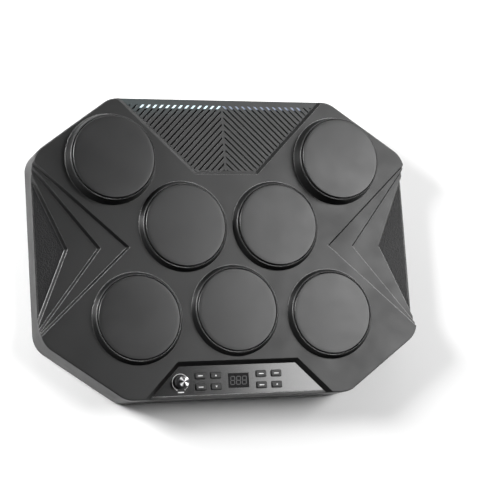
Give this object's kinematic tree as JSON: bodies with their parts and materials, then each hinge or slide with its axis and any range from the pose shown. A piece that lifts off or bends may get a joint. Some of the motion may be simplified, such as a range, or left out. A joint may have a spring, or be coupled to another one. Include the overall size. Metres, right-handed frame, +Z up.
{
  "type": "electronic drum pad",
  "caption": "Tabletop electronic drum pad: eight-sided stepped housing with round rubber playing pads, slotted speaker grille with a light row, and a control panel.",
  "frame": {"origin": "centre of the plan at the undersides of the feet", "axes": "+Z up, +Y towards the speaker grille at the rear, +X to the player's right"},
  "size_m": [0.471, 0.3574, 0.0651],
  "materials": {
    "housing": "fine moulded texture",
    "cover": "moulded",
    "battery": "wrapped cell",
    "foot_rubber": "matte",
    "screw_steel": "zinc plated",
    "light_guide": "milky clear",
    "circuit_board": "solder mask",
    "cloth": "woven",
    "speaker_metal": "painted",
    "speaker_paper": "pressed paper",
    "magnet": "ferrite",
    "textured_insert": "coarse grain",
    "gloss_overlay": "polished",
    "clear_window": "smoked",
    "display": "segment display",
    "switch_plastic": "moulded",
    "knob": "satin",
    "spun_metal": "spun",
    "shaft_steel": "turned",
    "pot_metal": "pressed",
    "piezo_brass": "disc",
    "socket_plastic": "moulded",
    "button_plastic": "satin",
    "foam": "open cell",
    "pad_plate": "moulded",
    "pad_rubber": "fine matte"
  },
  "bodies": {
    "root": {"top_housing": "housing", "bottom_cover": "cover", "battery_door": "cover", "battery_cells": "battery", "rubber_feet": "foot_rubber", "housing_screws": "screw_steel", "speaker_grille": "housing", "led_light_bar": "light_guide", "led_board": "circuit_board", "grille_cloth": "cloth", "speaker_frames": "speaker_metal", "speaker_cones": "speaker_paper", "speaker_magnets": "magnet", "side_insert_right": "textured_insert", "side_insert_left": "textured_insert", "panel_overlay": "gloss_overlay", "display_window": "clear_window", "display_module": "display", "control_board": "circuit_board", "tact_switches": "switch_plastic", "volume_pot": "pot_metal", "piezo_sensors": "piezo_brass", "main_board": "circuit_board", "jack_sockets": "socket_plastic", "power_switch_case": "socket_plastic", "front_ports": "socket_plastic", "foam_rear_left": "foam", "foam_rear_right": "foam", "foam_middle_left": "foam", "foam_middle_right": "foam", "foam_front_left": "foam", "foam_front_centre": "foam", "foam_front_right": "foam"},
    "pad_rear_left": {"head_rear_left": "pad_rubber", "plate_rear_left": "pad_plate"},
    "pad_rear_right": {"head_rear_right": "pad_rubber", "plate_rear_right": "pad_plate"},
    "pad_middle_left": {"head_middle_left": "pad_rubber", "plate_middle_left": "pad_plate"},
    "pad_middle_right": {"head_middle_right": "pad_rubber", "plate_middle_right": "pad_plate"},
    "pad_front_left": {"head_front_left": "pad_rubber", "plate_front_left": "pad_plate"},
    "pad_front_centre": {"head_front_centre": "pad_rubber", "plate_front_centre": "pad_plate"},
    "pad_front_right": {"head_front_right": "pad_rubber", "plate_front_right": "pad_plate"},
    "key_button_rear_1": {"button_rear_1": "button_plastic"},
    "key_button_rear_2": {"button_rear_2": "button_plastic"},
    "key_button_rear_3": {"button_rear_3": "button_plastic"},
    "key_button_rear_4": {"button_rear_4": "button_plastic"},
    "key_button_front_1": {"button_front_1": "button_plastic"},
    "key_button_front_2": {"button_front_2": "button_plastic"},
    "key_button_front_3": {"button_front_3": "button_plastic"},
    "key_button_front_4": {"button_front_4": "button_plastic"},
    "volume": {"volume_knob": "knob", "volume_knob_cap": "spun_metal", "volume_shaft": "shaft_steel"},
    "power_slider": {"power_switch": "switch_plastic"}
  },
  "joints": [
    {"name": "strike_rear_left", "type": "slide", "parent": "root", "child": "pad_rear_left", "axis": [0, 0, -1], "range_m": [0, 0.001], "stiffness_N_per_m": 2000, "deforming": ["foam_rear_left"]},
    {"name": "strike_rear_right", "type": "slide", "parent": "root", "child": "pad_rear_right", "axis": [0, 0, -1], "range_m": [0, 0.001], "stiffness_N_per_m": 2000, "deforming": ["foam_rear_right"]},
    {"name": "strike_middle_left", "type": "slide", "parent": "root", "child": "pad_middle_left", "axis": [0, 0, -1], "range_m": [0, 0.001], "stiffness_N_per_m": 2000, "deforming": ["foam_middle_left"]},
    {"name": "strike_middle_right", "type": "slide", "parent": "root", "child": "pad_middle_right", "axis": [0, 0, -1], "range_m": [0, 0.001], "stiffness_N_per_m": 2000, "deforming": ["foam_middle_right"]},
    {"name": "strike_front_left", "type": "slide", "parent": "root", "child": "pad_front_left", "axis": [0, 0, -1], "range_m": [0, 0.001], "stiffness_N_per_m": 2000, "deforming": ["foam_front_left"]},
    {"name": "strike_front_centre", "type": "slide", "parent": "root", "child": "pad_front_centre", "axis": [0, 0, -1], "range_m": [0, 0.001], "stiffness_N_per_m": 2000, "deforming": ["foam_front_centre"]},
    {"name": "strike_front_right", "type": "slide", "parent": "root", "child": "pad_front_right", "axis": [0, 0, -1], "range_m": [0, 0.001], "stiffness_N_per_m": 2000, "deforming": ["foam_front_right"]},
    {"name": "press_button_rear_1", "type": "slide", "parent": "root", "child": "key_button_rear_1", "axis": [0, 0, -1], "range_m": [0, 0.0008]},
    {"name": "press_button_rear_2", "type": "slide", "parent": "root", "child": "key_button_rear_2", "axis": [0, 0, -1], "range_m": [0, 0.0008]},
    {"name": "press_button_rear_3", "type": "slide", "parent": "root", "child": "key_button_rear_3", "axis": [0, 0, -1], "range_m": [0, 0.0008]},
    {"name": "press_button_rear_4", "type": "slide", "parent": "root", "child": "key_button_rear_4", "axis": [0, 0, -1], "range_m": [0, 0.0008]},
    {"name": "press_button_front_1", "type": "slide", "parent": "root", "child": "key_button_front_1", "axis": [0, 0, -1], "range_m": [0, 0.0008]},
    {"name": "press_button_front_2", "type": "slide", "parent": "root", "child": "key_button_front_2", "axis": [0, 0, -1], "range_m": [0, 0.0008]},
    {"name": "press_button_front_3", "type": "slide", "parent": "root", "child": "key_button_front_3", "axis": [0, 0, -1], "range_m": [0, 0.0008]},
    {"name": "press_button_front_4", "type": "slide", "parent": "root", "child": "key_button_front_4", "axis": [0, 0, -1], "range_m": [0, 0.0008]},
    {"name": "volume_turn", "type": "hinge", "parent": "root", "child": "volume", "pos_m": [-0.0719, -0.1595, 0.05], "axis": [0, 0, 1], "range_deg": [-150, 150]},
    {"name": "power_slide", "type": "slide", "parent": "root", "child": "power_slider", "axis": [1, 0, 0], "range_m": [0, 0.004]}
  ]
}
